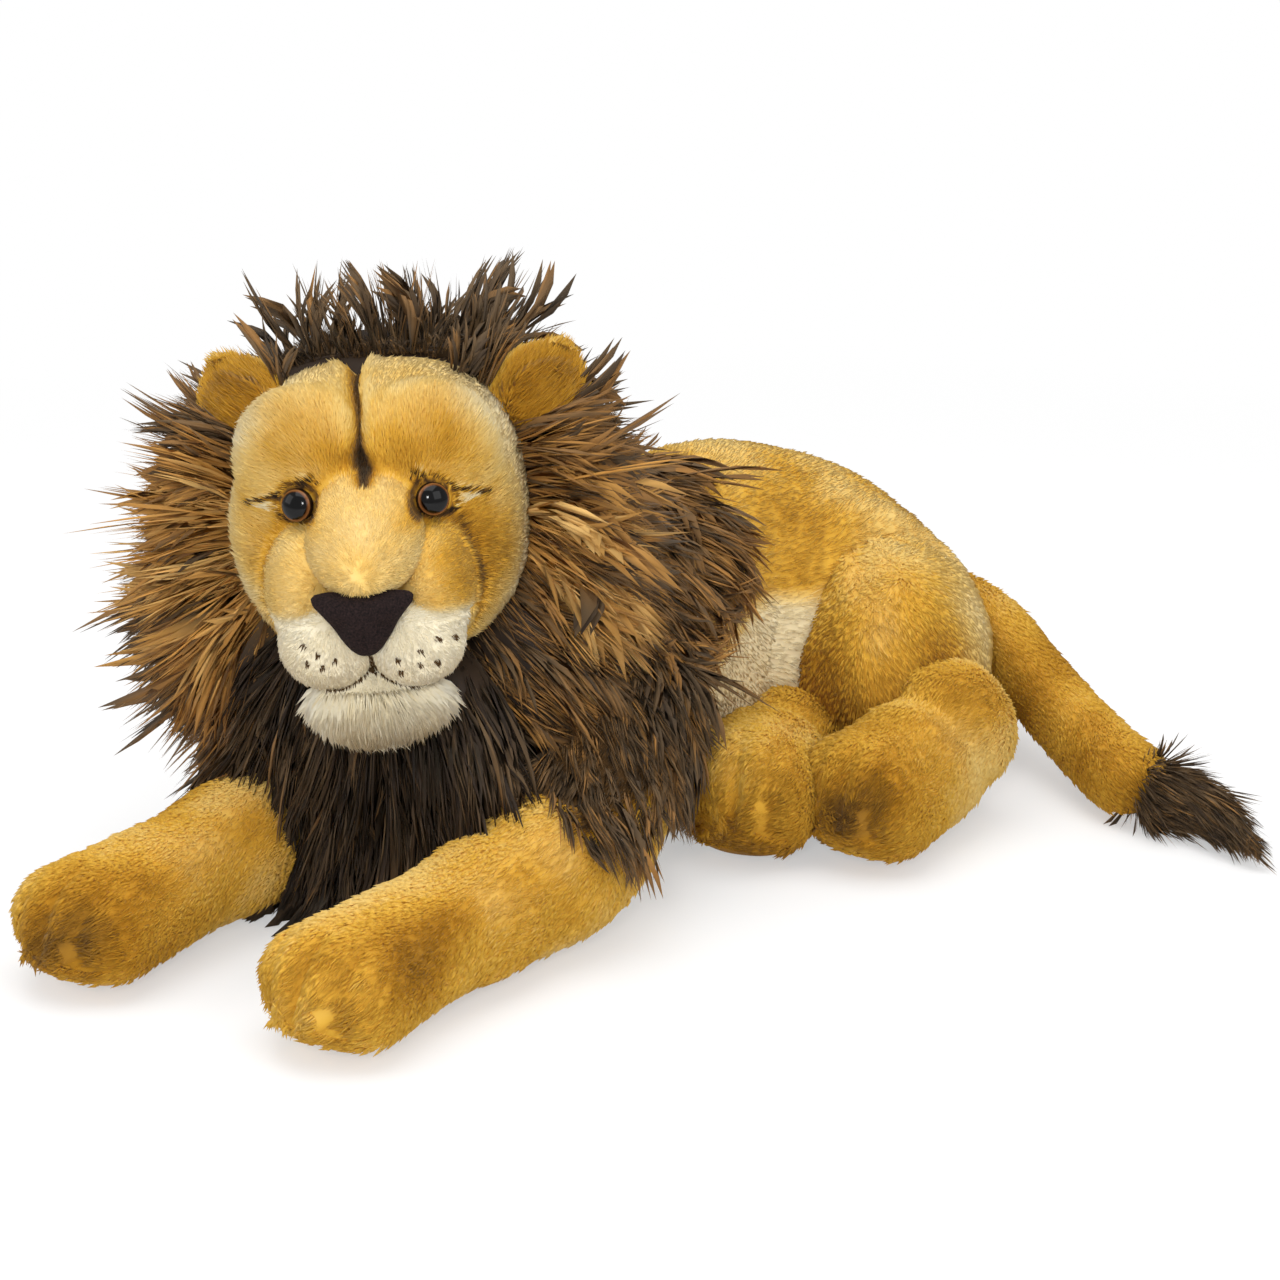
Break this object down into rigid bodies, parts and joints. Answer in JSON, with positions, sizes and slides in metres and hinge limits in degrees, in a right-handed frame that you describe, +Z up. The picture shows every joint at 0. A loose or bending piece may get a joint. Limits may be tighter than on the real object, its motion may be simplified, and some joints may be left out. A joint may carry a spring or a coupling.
{
  "type": "plush lion",
  "caption": "Stuffed plush lion lying on its belly with its head turned, long mane, glass-look eyes and a tufted tail that swings.",
  "frame": {"origin": "the point of the belly that rests on the floor, midway along the lion", "axes": "+Z up, the lion looks along -Y, its left side is +X"},
  "size_m": [0.5247, 0.7258, 0.344],
  "materials": {
    "golden_plush": "short golden plush pile, soft sheen",
    "pale_gold_plush": "close-cropped pale gold plush",
    "cream_plush": "cream plush",
    "dark_mane": "long dark brown hair pile",
    "caramel_mane": "long caramel hair pile",
    "nose_velour": "flat velour",
    "eye_plastic": "polished moulded plastic, black pupil on an amber ring",
    "washer_plastic": "unpainted moulded plastic",
    "fibre_fill": "white polyester fibre"
  },
  "bodies": {
    "lion": {"torso": "golden_plush", "head": "golden_plush", "haunch_left": "golden_plush", "haunch_right": "golden_plush", "hind_foot_left": "golden_plush", "hind_foot_right": "golden_plush", "foreleg_left": "golden_plush", "foreleg_right": "golden_plush", "brow_left": "golden_plush", "brow_right": "golden_plush", "cheek_left": "golden_plush", "cheek_right": "golden_plush", "ear_left": "golden_plush", "ear_right": "golden_plush", "nose_bridge": "pale_gold_plush", "flew_left": "pale_gold_plush", "flew_right": "pale_gold_plush", "belly_panel": "cream_plush", "lip_left": "cream_plush", "lip_right": "cream_plush", "chin": "cream_plush", "mane_cape": "dark_mane", "mane_crest": "dark_mane", "mane_bib": "dark_mane", "mane_nape": "dark_mane", "mane_collar": "caramel_mane", "ear_lining_left": "caramel_mane", "ear_lining_right": "caramel_mane", "nose": "nose_velour", "eye_left": "eye_plastic", "eye_right": "eye_plastic", "eye_washer_left": "washer_plastic", "eye_washer_right": "washer_plastic", "torso_fill": "fibre_fill", "head_fill": "fibre_fill", "neck_fill": "fibre_fill", "haunch_left_fill": "fibre_fill", "haunch_right_fill": "fibre_fill", "hind_foot_left_fill": "fibre_fill", "hind_foot_right_fill": "fibre_fill", "foreleg_left_fill": "fibre_fill", "foreleg_right_fill": "fibre_fill"},
    "tail": {"tail": "golden_plush", "tail_fill": "fibre_fill", "tail_tuft": "dark_mane"}
  },
  "joints": [
    {"name": "tail_swing", "type": "hinge", "parent": "lion", "child": "tail", "pos_m": [0.084, 0.228, 0.076], "axis": [0, 0, 1], "range_deg": [-12, 20]}
  ]
}
